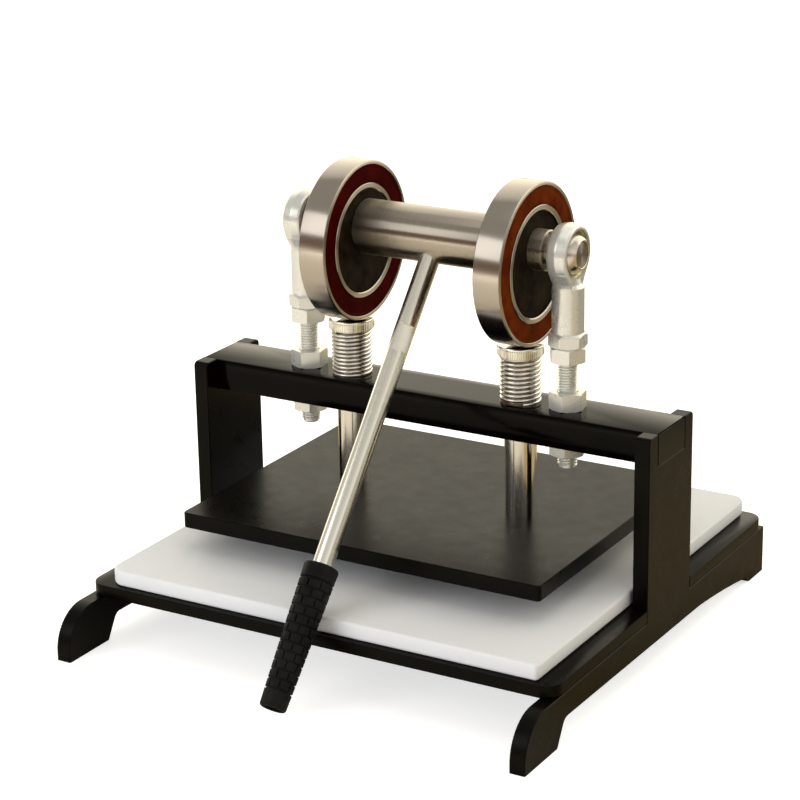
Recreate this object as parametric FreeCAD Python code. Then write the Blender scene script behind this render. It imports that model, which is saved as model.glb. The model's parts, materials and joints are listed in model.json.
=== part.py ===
import FreeCAD, Part
import math
import os

# Manual die cutting machine. Millimetres, X along the crossbeam, the front towards -Y, Z up, floor at 0.
# Everything is drawn round the plane of the two pillars and moved to the middle of the box at the end.

# Side plates and feet
frame_width = 322.0          # over the outer faces of the two side plates
plate_thick = 10.0
shoulder_height = 30.5       # the base plate lies on the plates at this height
upright_width = 61.0
horn_round = 3.0             # outer corners of the two horns beside the beam
toe_radius = 25.0
toe_reach = 34.5             # the toe's tip in front of the base plate
front_sole = 39.5            # length of the front foot's sole
arch_slope_run = 9.0         # the front foot's back slopes up over this run
arch_front_height = 15.0
arch_middle_height = 12.5
arch_middle = 47.0           # the arch begins to fall this far behind the pillars
arch_fall_bulge = 0.9        # how far the falling stretch bows above a straight line
heel_height = 4.2
heel_step = 6.0              # run of the short step between the arch and the rear sole
rear_sole = 23.0
arch_round = 6.0
edge_break = 0.5             # chamfer on the rims of the painted plates and the beam

# Base plate and board
base_front = 152.0           # from the pillars' plane to the front edge
base_back = 148.0
base_thick = 8.0
base_corner = 11.0
board_thick = 10.0
board_side_play = 2.5        # to the uprights on each side
board_set_back = 4.0         # the board's front edge behind the base plate's
board_overhang = 1.0         # the board's rear edge behind the base plate's
board_corner = 7.0
board_chamfer = 0.6

# Crossbeam
beam_under = 126.5
beam_thick = 20.0
beam_depth = 38.0
bush_wall = 3.0
stud_hole_play = 0.5

# Platen, pillars, caps and springs
platen_side_room = 26.0      # to the uprights on each side
platen_depth = 200.0
platen_thick = 10.0
platen_corner = 3.0
working_gap = 15.0           # board to platen with the handle hanging
pillar_radius = 10.0
pillar_spacing = 120.0
pillar_fit = 0.03            # radial clearance in the bushes
spigot_radius = 7.0
spigot_height = 4.5
screw_radius = 4.0
screw_head_radius = 8.0
screw_head_height = 4.4
screw_length = 22.0
screw_socket_width = 5.0
screw_socket_depth = 2.6
cap_wall = 4.5               # the cap's radius over the pillar's
cap_height = 7.0
cap_knurl_depth = 0.5
cap_knurl_count = 48
cap_rim = 1.3                # smooth rim above the knurled band
cap_foot = 0.8               # smooth rim below it
cap_chamfer = 0.4
spring_wire = 1.05           # radius of the wire
spring_play = 0.75           # round the pillar
spring_pitch = {"left": 2.69, "right": 2.98}
spring_seat = 0.03           # play at each end of the spring
samples_per_turn = 24        # points for measuring the spring's gap to itself

# Shaft, eccentrics and bearings
shaft_height = 243.0
throw = 9.5                  # the eccentrics' centres below the shaft's axis
cam_gap = 1.0                # bearing to cap with the handle hanging
shaft_shift = 3.3            # the shaft has slid this far towards the right rod end
shaft_middle_radius = 17.15
shaft_seat_radius = 12.5
shaft_journal_radius = 8.0
shaft_chamfer = 0.8
shaft_end_float = 4.1        # each shoulder to its rod end's ball, with the shaft in the middle
journal_inset = 4.9          # each tip inside the ball's outer face, with the shaft in the middle
eccentric_thick = 16.0
eccentric_inset = 0.4        # inner face, inside the bearing's
grub_radius = 4.0
grub_depth = 2.5             # how far the grub screw enters the shaft
bearing_radius = 50.0
bearing_bore = 32.5
bearing_width = 18.0
bearing_chamfer = 1.1
bore_chamfer = 0.66          # on the inner ring
bearing_play = 0.05
inner_lip = 3.4              # the inner ring's wall beside the seal
outer_lip = 2.5              # the outer ring's wall beside the seal
seal_thick = 1.3
seal_recess = 0.45
ball_radius = 5.55
ball_count = 13
groove_depth = 2.5           # of the balls' track in each ring
cage_thick = 2.7
cage_rim = 1.0               # beside each ball
cage_play = 0.15             # round each ball in the cage

# Rod ends, studs and nuts
rod_spacing = 184.0
eye_wall = 3.0
eye_width = 15.0
eye_round = 2.2
race_wall = 1.75             # where the race is thinnest
race_inset = 1.0             # each side of the race behind the eye's face
swivel_radius = 14.25
swivel_proud = 3.0           # each flat of the ball in front of the eye's face
swivel_play = 0.04
swivel_chamfer = 0.5
shank_radius = 9.2
shank_drop = 18.0            # the round shank ends this far below the shaft's axis
shank_shoulder = 2.2
neck_inset = 0.15            # the neck is this much slimmer than the eye
collar_flats = 21.0
rod_end_length = 57.5        # the rod end's foot below the shaft's axis
collar_height = 8.6
collar_chamfer = 1.4
stud_radius = 6.0
stud_past_nut = 8.8          # the tip below the lower nut
stud_in_shank = 20.0         # thread inside the rod end
thread_spare = 2.0           # the rod end's thread runs on above the stud
stud_chamfer = 1.2
nut_flats = 19.0
nut_chamfer = 0.9
hexagon_fall = 1.2           # a nut's corner is turned off this many times deeper than its chamfer
hexagon_rise = 0.6           # and this many times as high
hexagon_spare = 0.1          # the turned blank stands this far outside the corners
top_nut_height = 10.8
thin_nut_height = 9.2
nut_turns = {"jam": (56.0, 4.0), "top": (46.0, 35.0), "low": (20.0, 39.0)}

# Handle and grip
handle_angle = 40.3          # from straight down, towards the front
handle_radius = 6.35
handle_root = 5.0            # the rod's inner end from the shaft's axis
handle_length = 302.0
handle_flats = 10.0
handle_flats_from = 60.5
handle_flats_to = 79.0
handle_flats_turn = 20.0
handle_chamfer = 0.8
grip_start = 217.4
grip_end = 306.0
grip_top_wall = 4.4
grip_end_wall = 2.25
grip_collar = 9.5            # smooth stretch at the top
grip_tail = 10.5             # smooth stretch at the end
grip_rings = 12
grip_blocks = 8              # raised blocks round each ring
grip_block_rise = 1.0
grip_groove = 1.2            # width of the grooves between rings and blocks
grip_round = 1.6


# Places worked out from the sizes above
V = FreeCAD.Vector
half_width = frame_width / 2
inner_half = half_width - plate_thick
upright_half = upright_width / 2
beam_half = beam_depth / 2
beam_top = beam_under + beam_thick
base_top = shoulder_height + base_thick
board_top = base_top + board_thick
platen_under = board_top + working_gap
platen_top = platen_under + platen_thick
cam_centre = shaft_height - throw
cap_top = cam_centre - bearing_radius - cam_gap
cap_under = cap_top - cap_height
cap_radius = pillar_radius + cap_wall
spring_radius = pillar_radius + spring_play + spring_wire
side_x = {"left": -1.0, "right": 1.0}
eccentric_inner = pillar_spacing / 2 - bearing_width / 2 + eccentric_inset
eccentric_outer = eccentric_inner + eccentric_thick
ball_pitch = (bearing_radius + bearing_bore) / 2
shoulder_inner = ball_pitch - ball_radius + groove_depth
shoulder_outer = ball_pitch + ball_radius - groove_depth
seal_inner = bearing_bore + inner_lip
seal_outer = bearing_radius - outer_lip
race_radius = swivel_radius + race_wall
race_width = eye_width - 2 * race_inset
eye_radius = race_radius + eye_wall
swivel_width = eye_width + 2 * swivel_proud
shaft_shoulder = (rod_spacing - swivel_width) / 2 - shaft_end_float
shaft_tip = (rod_spacing + swivel_width) / 2 - journal_inset
collar_under = shaft_height - rod_end_length
shank_top = shaft_height - shank_drop
stud_foot = beam_under - thin_nut_height - stud_past_nut
platen_width = 2 * (inner_half - platen_side_room)
board_half = inner_half - board_side_play
board_front = -base_front + board_set_back
board_back = base_back + board_overhang
grip_top_radius = handle_radius + grip_top_wall
grip_end_radius = handle_radius + grip_end_wall
lean = math.radians(handle_angle)
grip_reach = (
    (grip_end - grip_round) * math.sin(lean) + (grip_end_radius - grip_round) * math.cos(lean) + grip_round
)
shift_y = (grip_reach - board_back) / 2


def save(name, solids):
    """Write one node, moved so that the origin is under the middle of the whole machine."""
    shape = solids[0] if len(solids) == 1 else Part.makeCompound(solids)
    moved = shape.copy()
    moved.translate(V(0, shift_y, 0))
    moved.exportStep("parts/" + name + ".step")


def cylinder(radius, low, high, x=0.0):
    """Upright cylinder between two heights, in the pillars' plane."""
    return Part.makeCylinder(radius, high - low, V(x, 0, low))


def cross_cylinder(radius, x_low, x_high, z):
    """Cylinder along X between two places, in the pillars' plane."""
    return Part.makeCylinder(radius, x_high - x_low, V(x_low, 0, z), V(1, 0, 0))


def plate(x_low, x_high, y_low, y_high, z_low, z_high, corner=0.0):
    """Flat plate with rounded upright edges."""
    solid = Part.makeBox(x_high - x_low, y_high - y_low, z_high - z_low, V(x_low, y_low, z_low))
    if corner > 0:
        upright = [e for e in solid.Edges if abs(e.tangentAt(e.FirstParameter).z) > 0.99]
        solid = solid.makeFillet(corner, upright)
    return solid


def break_rims(solid, flat_axis):
    """Chamfer round the two flat faces that are square to an axis, but not round the soles."""
    rims = []
    for edge in solid.Edges:
        box = edge.BoundBox
        thin = {"x": box.XLength, "z": box.ZLength}[flat_axis]
        if thin < 0.01 and box.ZMax > 0.01:
            rims.append(edge)
    return solid.makeChamfer(edge_break, rims)


def revolve(points, centre, axis):
    """Solid of revolution from (along the axis, radius) points."""
    axis = V(axis)
    axis.normalize()
    out = V(0, 0, 1).cross(axis)
    if out.Length < 0.01:
        out = V(1, 0, 0)
    out.normalize()
    corners = [centre + axis * along + out * radius for along, radius in points]
    face = Part.Face(Part.makePolygon(corners + [corners[0]]))
    solid = face.revolve(centre, axis, 360)
    return solid if solid.Volume > 0 else solid.reversed()


def hexagon(flats, low, high, x, turn):
    """Six-sided prism round an upright axis in the pillars' plane."""
    radius = flats / math.sqrt(3)
    angles = [math.radians(turn + 60 * i) for i in range(7)]
    corners = [V(x + radius * math.cos(a), radius * math.sin(a), low) for a in angles]
    return Part.Face(Part.makePolygon(corners)).extrude(V(0, 0, high - low))


def chamfered_hexagon(flats, low, high, x, turn, chamfer):
    """Hexagon whose corners are turned off at both ends, as on a nut."""
    corner = flats / math.sqrt(3)
    fall = chamfer * hexagon_fall
    rise = chamfer * hexagon_rise
    widest = corner + hexagon_spare
    profile = [(0, 0), (0, corner - fall), (rise, widest)]
    profile += [(high - low - rise, widest), (high - low, corner - fall), (high - low, 0)]
    blank = revolve(profile, V(x, 0, low), V(0, 0, 1))
    return hexagon(flats, low, high, x, turn).common(blank)


def nut(x, low, high, turn):
    """Nut on one of the studs."""
    body = chamfered_hexagon(nut_flats, low, high, x, turn, nut_chamfer)
    return body.cut(cylinder(stud_radius, low - 1, high + 1, x))


# Frame
def side_plate(side):
    """Foot, arch, shoulder and upright in one plate, notched at the top for the beam."""
    toe_front = -(base_front + toe_reach)
    toe_centre = toe_front + toe_radius
    sole_end = toe_front + front_sole
    rear_start = base_back - rear_sole
    heel = rear_start - heel_step
    fall_middle = V(0, (arch_middle + heel) / 2, (arch_middle_height + heel_height) / 2 + arch_fall_bulge)
    arc_middle = V(
        0,
        toe_centre - toe_radius * math.cos(math.pi / 4),
        shoulder_height - toe_radius + toe_radius * math.sin(math.pi / 4),
    )
    toe_tip = V(0, toe_front, shoulder_height - toe_radius)
    toe_top = V(0, toe_centre, shoulder_height)
    arch_bend = V(0, arch_middle, arch_middle_height)
    arch_heel = V(0, heel, heel_height)
    before_toe = [
        (rear_start, 0),
        (base_back, 0),
        (base_back, shoulder_height),
        (upright_half, shoulder_height),
        (upright_half, beam_top),
        (beam_half, beam_top),
        (beam_half, beam_under),
        (-beam_half, beam_under),
        (-beam_half, beam_top),
        (-upright_half, beam_top),
        (-upright_half, shoulder_height),
    ]
    after_toe = [(toe_front, 0), (sole_end, 0), (sole_end + arch_slope_run, arch_front_height)]
    back_path = [arch_heel] + [V(0, y, z) for y, z in before_toe] + [toe_top]
    front_path = [toe_tip] + [V(0, y, z) for y, z in after_toe] + [arch_bend]
    edges = Part.makePolygon(back_path).Edges
    edges += [Part.Arc(toe_top, arc_middle, toe_tip).toShape()]
    edges += Part.makePolygon(front_path).Edges
    edges += [Part.Arc(arch_bend, fall_middle, arch_heel).toShape()]
    face = Part.Face(Part.Wire(Part.__sortEdges__(edges)))
    solid = face.extrude(V(plate_thick, 0, 0))
    solid = solid.makeFillet(horn_round, cross_edges(solid, upright_half, beam_top))
    slope_top = sole_end + arch_slope_run
    solid = solid.makeFillet(arch_round, cross_edges(solid, -slope_top, arch_front_height))
    solid = break_rims(solid, "x")
    solid.translate(V(inner_half if side == "right" else -half_width, 0, 0))
    return solid


def cross_edges(solid, y, z):
    """Edges along X that lie at a height and at a distance before or behind the pillars."""
    found = []
    for edge in solid.Edges:
        box = edge.BoundBox
        along = box.XLength > plate_thick * 0.9
        if along and abs(abs(box.YMin) - abs(y)) < 0.01 and abs(box.ZMin - z) < 0.01:
            found.append(edge)
    return found


def base_plate():
    """Plate on the shoulders, notched round the two uprights."""
    solid = plate(-half_width, half_width, -base_front, base_back, shoulder_height, base_top, base_corner)
    for x_low in (-half_width - 1, inner_half):
        notch = plate(x_low, x_low + plate_thick + 1, -upright_half, upright_half, 0, base_top + 1)
        solid = solid.cut(notch)
    return break_rims(solid, "z")


def crossbeam():
    """Beam in the notches, bored for the bushes and the studs."""
    solid = plate(-half_width, half_width, -beam_half, beam_half, beam_under, beam_top)
    solid = break_rims(solid, "z")
    for x_sign in side_x.values():
        pillar_x = x_sign * pillar_spacing / 2
        stud_x = x_sign * rod_spacing / 2
        solid = solid.cut(cylinder(pillar_radius + bush_wall, beam_under - 1, beam_top + 1, pillar_x))
        solid = solid.cut(cylinder(stud_radius + stud_hole_play, beam_under - 1, beam_top + 1, stud_x))
    return solid


def guide_bush(x_sign):
    """Plain bush, flush with the beam."""
    x = x_sign * pillar_spacing / 2
    outer = cylinder(pillar_radius + bush_wall, beam_under, beam_top, x)
    return outer.cut(cylinder(pillar_radius + pillar_fit, beam_under - 1, beam_top + 1, x))


def stud(x_sign):
    """Threaded stud, drawn plain at the thread's outer size."""
    x = x_sign * rod_spacing / 2
    tip = stud_radius - stud_chamfer
    top = collar_under + stud_in_shank - stud_foot
    profile = [(0, 0), (0, tip), (stud_chamfer, stud_radius), (top - stud_chamfer, stud_radius)]
    profile += [(top, tip), (top, 0)]
    return revolve(profile, V(x, 0, stud_foot), V(0, 0, 1))


def stud_nuts(kind, low, high):
    """The same nut on both studs."""
    turns = nut_turns[kind]
    return [nut(x_sign * rod_spacing / 2, low, high, turns[i]) for i, x_sign in enumerate(side_x.values())]


def rod_end(x_sign):
    """Eye, round shank and six-sided collar, bored for the race and the stud."""
    x = x_sign * rod_spacing / 2
    half = eye_width / 2
    neck = half - neck_inset
    eye = cross_cylinder(eye_radius, x - half, x + half, shaft_height)
    rims = [e for e in eye.Edges if e.BoundBox.XLength < 0.01]
    eye = eye.makeFillet(eye_round, rims)
    shank_profile = [(0, 0), (0, shank_radius), (shank_top - collar_under - shank_shoulder, shank_radius)]
    shank_profile += [(shank_top - collar_under, neck), (rod_end_length, neck), (rod_end_length, 0)]
    shank = revolve(shank_profile, V(x, 0, collar_under), V(0, 0, 1))
    collar_top = collar_under + collar_height
    collar = chamfered_hexagon(collar_flats, collar_under, collar_top, x, 30, collar_chamfer)
    solid = eye.fuse([shank, collar]).removeSplitter()
    solid = solid.cut(cross_cylinder(race_radius, x - half - 1, x + half + 1, shaft_height))
    thread_top = collar_under + stud_in_shank + thread_spare
    return solid.cut(cylinder(stud_radius, collar_under - 1, thread_top, x))


def rod_end_race(x_sign):
    """Ring in the eye, hollowed to the ball."""
    x = x_sign * rod_spacing / 2
    ring = cross_cylinder(race_radius, x - race_width / 2, x + race_width / 2, shaft_height)
    return ring.cut(Part.makeSphere(swivel_radius + swivel_play, V(x, 0, shaft_height), V(1, 0, 0)))


# Springs
def helix_point(x, turn, low, pitch):
    """Point and direction on the wire's middle line after a number of turns."""
    angle = 2 * math.pi * turn
    point = V(x + spring_radius * math.cos(angle), spring_radius * math.sin(angle), low + pitch * turn)
    along = V(-math.sin(angle), math.cos(angle), pitch / (2 * math.pi * spring_radius))
    along.normalize()
    return point, along


def arc_from_corner(start, corner, end):
    """Arc that leaves one point and reaches another along the two legs that meet in a corner."""
    middle = (start + end) * 0.5
    half_chord = (end - start).Length / 2
    leg = (corner - start).Length
    bend = math.acos(half_chord / leg)
    to_corner = corner - middle
    to_corner.normalize()
    return Part.Arc(start, middle + to_corner * (half_chord * math.tan(bend / 2)), end).toShape()


def half_turn(first, second):
    """Two tangent arcs between two points of the helix."""
    start, leave = first
    end, arrive = second
    chord = end - start
    both = leave + arrive
    spread = 2 * (1 - leave.dot(arrive))
    reach = (-chord.dot(both) + math.sqrt(chord.dot(both) ** 2 + spread * chord.dot(chord))) / spread
    corner_in = start + leave * reach
    corner_out = end - arrive * reach
    joint = (corner_in + corner_out) * 0.5
    return [arc_from_corner(start, corner_in, joint), arc_from_corner(joint, corner_out, end)]


def least_gap(points):
    """Least gap between turns, measured on points of the middle line over half a turn apart."""
    apart = samples_per_turn // 2
    pairs = [(a, b) for i, a in enumerate(points) for b in points[i + apart:]]
    return min((a - b).Length for a, b in pairs) - 2 * spring_wire


def spring(side):
    """Compression spring between beam and cap, one unbroken tube."""
    x = side_x[side] * pillar_spacing / 2
    low = beam_top + spring_wire + spring_seat
    high = cap_under - spring_wire - spring_seat
    turns = round((high - low) / spring_pitch[side])
    pitch = (high - low) / turns
    stops = [helix_point(x, i / 2, low, pitch) for i in range(2 * turns + 1)]
    edges = []
    for first, second in zip(stops, stops[1:]):
        edges += half_turn(first, second)
    start, leave = stops[0]
    ring = Part.Wire(Part.makeCircle(spring_wire, start, leave))
    sweep = Part.BRepOffsetAPI.MakePipeShell(Part.Wire(edges))
    sweep.add(ring)
    sweep.build()
    sweep.makeSolid()
    edges_seen = [edge.discretize(samples_per_turn // 4 + 1)[:-1] for edge in edges]
    samples = [point for points in edges_seen for point in points]
    print("spring", side, "least gap to itself", round(least_gap(samples), 3))
    return sweep.shape()


# Platen and pillars
def screw_blank(x_sign):
    """Outer shape of a countersunk screw from the platen's underside."""
    profile = [(0, 0), (0, screw_head_radius), (screw_head_height, screw_radius)]
    profile += [(screw_length, screw_radius), (screw_length, 0)]
    return revolve(profile, V(x_sign * pillar_spacing / 2, 0, platen_under), V(0, 0, 1))


def pillar_screw(x_sign):
    """Countersunk screw with a six-sided socket."""
    x = x_sign * pillar_spacing / 2
    socket = hexagon(screw_socket_width, platen_under - 1, platen_under + screw_socket_depth, x, 0)
    return screw_blank(x_sign).cut(socket)


def platen():
    """Pressing plate with a countersunk hole under each pillar."""
    half_x = platen_width / 2
    half_y = platen_depth / 2
    solid = plate(-half_x, half_x, -half_y, half_y, platen_under, platen_top, platen_corner)
    solid = break_rims(solid, "z")
    for x_sign in side_x.values():
        solid = solid.cut(screw_blank(x_sign))
    return solid


def guide_pillar(x_sign):
    """Round pillar on the platen, with a spigot for the cap and a threaded hole for the screw."""
    x = x_sign * pillar_spacing / 2
    solid = cylinder(pillar_radius, platen_top, cap_under, x)
    solid = solid.fuse(cylinder(spigot_radius, cap_under, cap_under + spigot_height, x)).removeSplitter()
    return solid.cut(cylinder(screw_radius, platen_top - 1, platen_under + screw_length, x))


def guide_cap(x_sign):
    """Knurled cap that the bearing pushes on."""
    x = x_sign * pillar_spacing / 2
    root = cap_radius - cap_knurl_depth
    profile = [(0, 0), (0, root - cap_chamfer), (cap_chamfer, root), (cap_height - cap_chamfer, root)]
    profile += [(cap_height, root - cap_chamfer), (cap_height, 0)]
    core = revolve(profile, V(x, 0, cap_under), V(0, 0, 1))
    step = math.pi / cap_knurl_count
    corners = []
    for i in range(2 * cap_knurl_count):
        radius = cap_radius if i % 2 == 0 else root
        corners.append(V(x + radius * math.cos(i * step), radius * math.sin(i * step), cap_under + cap_foot))
    outline = Part.Face(Part.makePolygon(corners + [corners[0]]))
    band = outline.extrude(V(0, 0, cap_height - cap_rim - cap_foot))
    socket = cylinder(spigot_radius, cap_under - 1, cap_under + spigot_height, x)
    return core.fuse(band).cut(socket)


# Crank
def crankshaft():
    """Thick middle, seats for the eccentrics, journals for the rod ends and a cross hole for the handle."""
    middle = eccentric_inner
    shoulder = shaft_shoulder
    tip = shaft_tip
    c = shaft_chamfer
    half = [(middle, shaft_middle_radius), (middle, shaft_seat_radius), (shoulder - c, shaft_seat_radius)]
    half += [(shoulder, shaft_seat_radius - c), (shoulder, shaft_journal_radius)]
    half += [(tip - c, shaft_journal_radius), (tip, shaft_journal_radius - c)]
    right = half + [(tip, 0)]
    left = [(-tip, 0)] + [(-along, radius) for along, radius in reversed(half)]
    solid = revolve(left + right, V(shaft_shift, 0, shaft_height), V(1, 0, 0))
    solid = solid.cut(handle_bar(handle_root, shaft_middle_radius + 5))
    for x_sign in side_x.values():
        solid = solid.cut(grub_screw(x_sign))
    return solid


def eccentric_x(x_sign):
    """Middle of an eccentric along the shaft."""
    return shaft_shift + x_sign * (eccentric_inner + eccentric_outer) / 2


def grub_screw(x_sign):
    """Screw from the eccentric's rim into the shaft, hidden under the bearing."""
    top = shaft_height - shaft_seat_radius + grub_depth
    rim = cam_centre - bearing_bore
    return cylinder(grub_radius, rim + 1.0, top, eccentric_x(x_sign))


def eccentric(x_sign):
    """Disc whose centre hangs below the shaft and fills the bearing's bore."""
    x = eccentric_x(x_sign)
    half = eccentric_thick / 2
    disc = cross_cylinder(bearing_bore, x - half, x + half, cam_centre)
    disc = disc.cut(cross_cylinder(shaft_seat_radius, x - half - 1, x + half + 1, shaft_height))
    top = shaft_height - shaft_seat_radius + grub_depth
    return disc.cut(cylinder(grub_radius, cam_centre - bearing_bore - 1, top, x))


def swivel_ball(x_sign):
    """Bored ball in the rod end, flat on both sides."""
    x = x_sign * rod_spacing / 2
    half = swivel_width / 2
    ball = Part.makeSphere(swivel_radius, V(x, 0, shaft_height), V(1, 0, 0))
    ball = ball.common(cross_cylinder(swivel_radius + 1, x - half, x + half, shaft_height))
    r = shaft_journal_radius
    c = swivel_chamfer
    hole = [(-half - 1, 0), (-half - 1, r + c + 1), (-half + c, r), (half - c, r), (half + 1, r + c + 1)]
    hole += [(half + 1, 0)]
    return ball.cut(revolve(hole, V(x, 0, shaft_height), V(1, 0, 0)))


def handle_bar(start, end, radius=None):
    """Round bar along the handle's line, between two distances from the shaft's axis."""
    along = V(0, -math.sin(lean), -math.cos(lean))
    root = V(shaft_shift, 0, shaft_height) + along * start
    return Part.makeCylinder(radius or handle_radius, end - start, root, along)


def along_handle(solid):
    """Move a solid drawn along +Z from the origin onto the handle's line."""
    moved = solid.copy()
    moved.rotate(V(0, 0, 0), V(1, 0, 0), 180 - handle_angle)
    moved.translate(V(shaft_shift, 0, shaft_height))
    return moved


def handle_rod():
    """Rod screwed into the shaft, with two spanner flats."""
    c = handle_chamfer
    profile = [(handle_root, 0), (handle_root, handle_radius), (handle_length - c, handle_radius)]
    profile += [(handle_length, handle_radius - c), (handle_length, 0)]
    rod = revolve(profile, V(0, 0, 0), V(0, 0, 1))
    for x_sign in (-1, 1):
        offset = handle_flats / 2 if x_sign > 0 else -handle_flats / 2 - 10
        cutter = Part.makeBox(10, 40, handle_flats_to - handle_flats_from, V(offset, -20, handle_flats_from))
        cutter.rotate(V(0, 0, 0), V(0, 0, 1), handle_flats_turn)
        rod = rod.cut(cutter)
    return along_handle(rod)


def grip_radius(place):
    """Outer radius of the grip at a distance from the shaft's axis."""
    taper = (grip_top_radius - grip_end_radius) / (grip_end - grip_start)
    return grip_top_radius - taper * (place - grip_start)


def hand_grip():
    """Tapered rubber grip: smooth collar and tail, and staggered rings of raised blocks between them."""
    ribs_start = grip_start + grip_collar
    ribs_end = grip_end - grip_tail
    outline = [(grip_start, 0), (grip_start, grip_top_radius - grip_round)]
    outline += [(grip_start + grip_round, grip_top_radius), (ribs_start, grip_radius(ribs_start))]
    outline += [(ribs_start, grip_radius(ribs_start) - grip_block_rise)]
    outline += [(ribs_end, grip_radius(ribs_end) - grip_block_rise), (ribs_end, grip_radius(ribs_end))]
    outline += [(grip_end - grip_round, grip_end_radius), (grip_end, grip_end_radius - grip_round)]
    outline += [(grip_end, 0)]
    grip = revolve(outline, V(0, 0, 0), V(0, 0, 1))
    pitch = (ribs_end - ribs_start - grip_groove) / grip_rings
    blocks = []
    for ring in range(grip_rings):
        low = ribs_start + grip_groove + ring * pitch
        middle = low + (pitch - grip_groove) / 2
        width = 2 * math.pi * grip_radius(middle) / grip_blocks - grip_groove
        inner = grip_radius(middle) - grip_block_rise * 2
        for place in range(grip_blocks):
            corner = V(inner, -width / 2, low)
            block = Part.makeBox(grip_block_rise * 2, width, pitch - grip_groove, corner)
            block.rotate(V(0, 0, 0), V(0, 0, 1), 360 / grip_blocks * (place + (ring % 2) / 2))
            blocks.append(block)
    grip = grip.fuse(blocks)
    grip = grip.cut(cylinder(handle_radius, grip_start - 1, handle_length))
    return along_handle(grip)


# Bearings
def bearing_centre(x_sign):
    """Middle of a bearing, on its eccentric."""
    return V(shaft_shift + x_sign * pillar_spacing / 2, 0, cam_centre)


def groove(centre):
    """Ball track cut into both rings."""
    return Part.makeTorus(ball_pitch, ball_radius + bearing_play, centre, V(1, 0, 0))


def bearing_inner(x_sign):
    """Inner ring with a low step under each seal's lip."""
    half = bearing_width / 2
    c = bore_chamfer
    land = half - seal_recess - seal_thick - bearing_play
    side = [(land, shoulder_inner), (land, seal_inner), (half - c / 2, seal_inner)]
    side += [(half, seal_inner - c / 2), (half, bearing_bore + c), (half - c, bearing_bore)]
    outline = side + [(-along, radius) for along, radius in reversed(side)]
    centre = bearing_centre(x_sign)
    return revolve(outline, centre, V(1, 0, 0)).cut(groove(centre))


def bearing_outer(x_sign):
    """Outer ring with a seat for each seal."""
    half = bearing_width / 2
    c = bearing_chamfer
    land = half - seal_recess - seal_thick - bearing_play
    side = [(land, shoulder_outer), (land, seal_outer), (half - c / 2, seal_outer)]
    side += [(half, seal_outer + c / 2), (half, bearing_radius - c), (half - c, bearing_radius)]
    outline = side + [(-along, radius) for along, radius in reversed(side)]
    centre = bearing_centre(x_sign)
    return revolve(outline, centre, V(1, 0, 0)).cut(groove(centre))


def bearing_seals(x_sign):
    """The rubber seal on each side."""
    outer_face = bearing_width / 2 - seal_recess
    seals = []
    for face_sign in (-1, 1):
        outline = [
            (face_sign * (outer_face - seal_thick), seal_inner + bearing_play),
            (face_sign * outer_face, seal_inner + bearing_play),
            (face_sign * outer_face, seal_outer),
            (face_sign * (outer_face - seal_thick), seal_outer),
        ]
        seals.append(revolve(outline, bearing_centre(x_sign), V(1, 0, 0)))
    return seals


def ball_centres(x_sign):
    """Places of the balls round a bearing."""
    centre = bearing_centre(x_sign)
    angles = [2 * math.pi * i / ball_count for i in range(ball_count)]
    return [centre + V(0, math.sin(a), math.cos(a)) * ball_pitch for a in angles]


def bearing_balls(x_sign):
    """Ring of balls."""
    return [Part.makeSphere(ball_radius, place) for place in ball_centres(x_sign)]


def bearing_cage(x_sign):
    """Flat ring with a round pocket for each ball."""
    pocket = ball_radius + cage_play
    half = pocket + cage_rim
    inner = ball_pitch - cage_thick / 2
    outer = ball_pitch + cage_thick / 2
    centre = bearing_centre(x_sign)
    ring = revolve([(-half, inner), (half, inner), (half, outer), (-half, outer)], centre, V(1, 0, 0))
    pockets = []
    for place in ball_centres(x_sign):
        out = place - centre
        out.normalize()
        pockets.append(Part.makeCylinder(pocket, 2 * cage_thick, place - out * cage_thick, out))
    return ring.cut(Part.makeCompound(pockets))


def cutting_board():
    """Square board with rounded corners and broken edges."""
    solid = plate(-board_half, board_half, board_front, board_back, base_top, board_top, board_corner)
    rims = [e for e in solid.Edges if e.BoundBox.ZLength < 0.01]
    return solid.makeChamfer(board_chamfer, rims)


def build_frame():
    """Everything that stands still."""
    save("base_plate", [base_plate()])
    save("crossbeam", [crossbeam()])
    save("jam_nuts", stud_nuts("jam", collar_under - thin_nut_height, collar_under))
    save("beam_top_nuts", stud_nuts("top", beam_top, beam_top + top_nut_height))
    save("beam_lower_nuts", stud_nuts("low", beam_under - thin_nut_height, beam_under))
    for side, x_sign in side_x.items():
        save("side_plate_" + side, [side_plate(side)])
        save("guide_bush_" + side, [guide_bush(x_sign)])
        save("stud_" + side, [stud(x_sign)])
        save("rod_end_" + side, [rod_end(x_sign)])
        save("rod_end_race_" + side, [rod_end_race(x_sign)])
        save("spring_" + side, [spring(side)])


def build_press():
    """Platen, pillars, caps and screws, which rise together."""
    save("platen", [platen()])
    save("pillar_screws", [pillar_screw(x_sign) for x_sign in side_x.values()])
    for side, x_sign in side_x.items():
        save("guide_pillar_" + side, [guide_pillar(x_sign)])
        save("guide_cap_" + side, [guide_cap(x_sign)])


def build_crank():
    """Shaft, eccentrics, handle, and the bearings that roll on the eccentrics."""
    save("crankshaft", [crankshaft()])
    save("eccentric_screws", [grub_screw(x_sign) for x_sign in side_x.values()])
    save("handle_rod", [handle_rod()])
    save("hand_grip", [hand_grip()])
    for side, x_sign in side_x.items():
        save("eccentric_" + side, [eccentric(x_sign)])
        save("rod_end_ball_" + side, [swivel_ball(x_sign)])
        save("bearing_inner_" + side, [bearing_inner(x_sign)])
        save("bearing_outer_" + side, [bearing_outer(x_sign)])
        save("bearing_seals_" + side, bearing_seals(x_sign))
        save("bearing_balls_" + side, bearing_balls(x_sign))
        save("bearing_cage_" + side, [bearing_cage(x_sign)])


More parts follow.
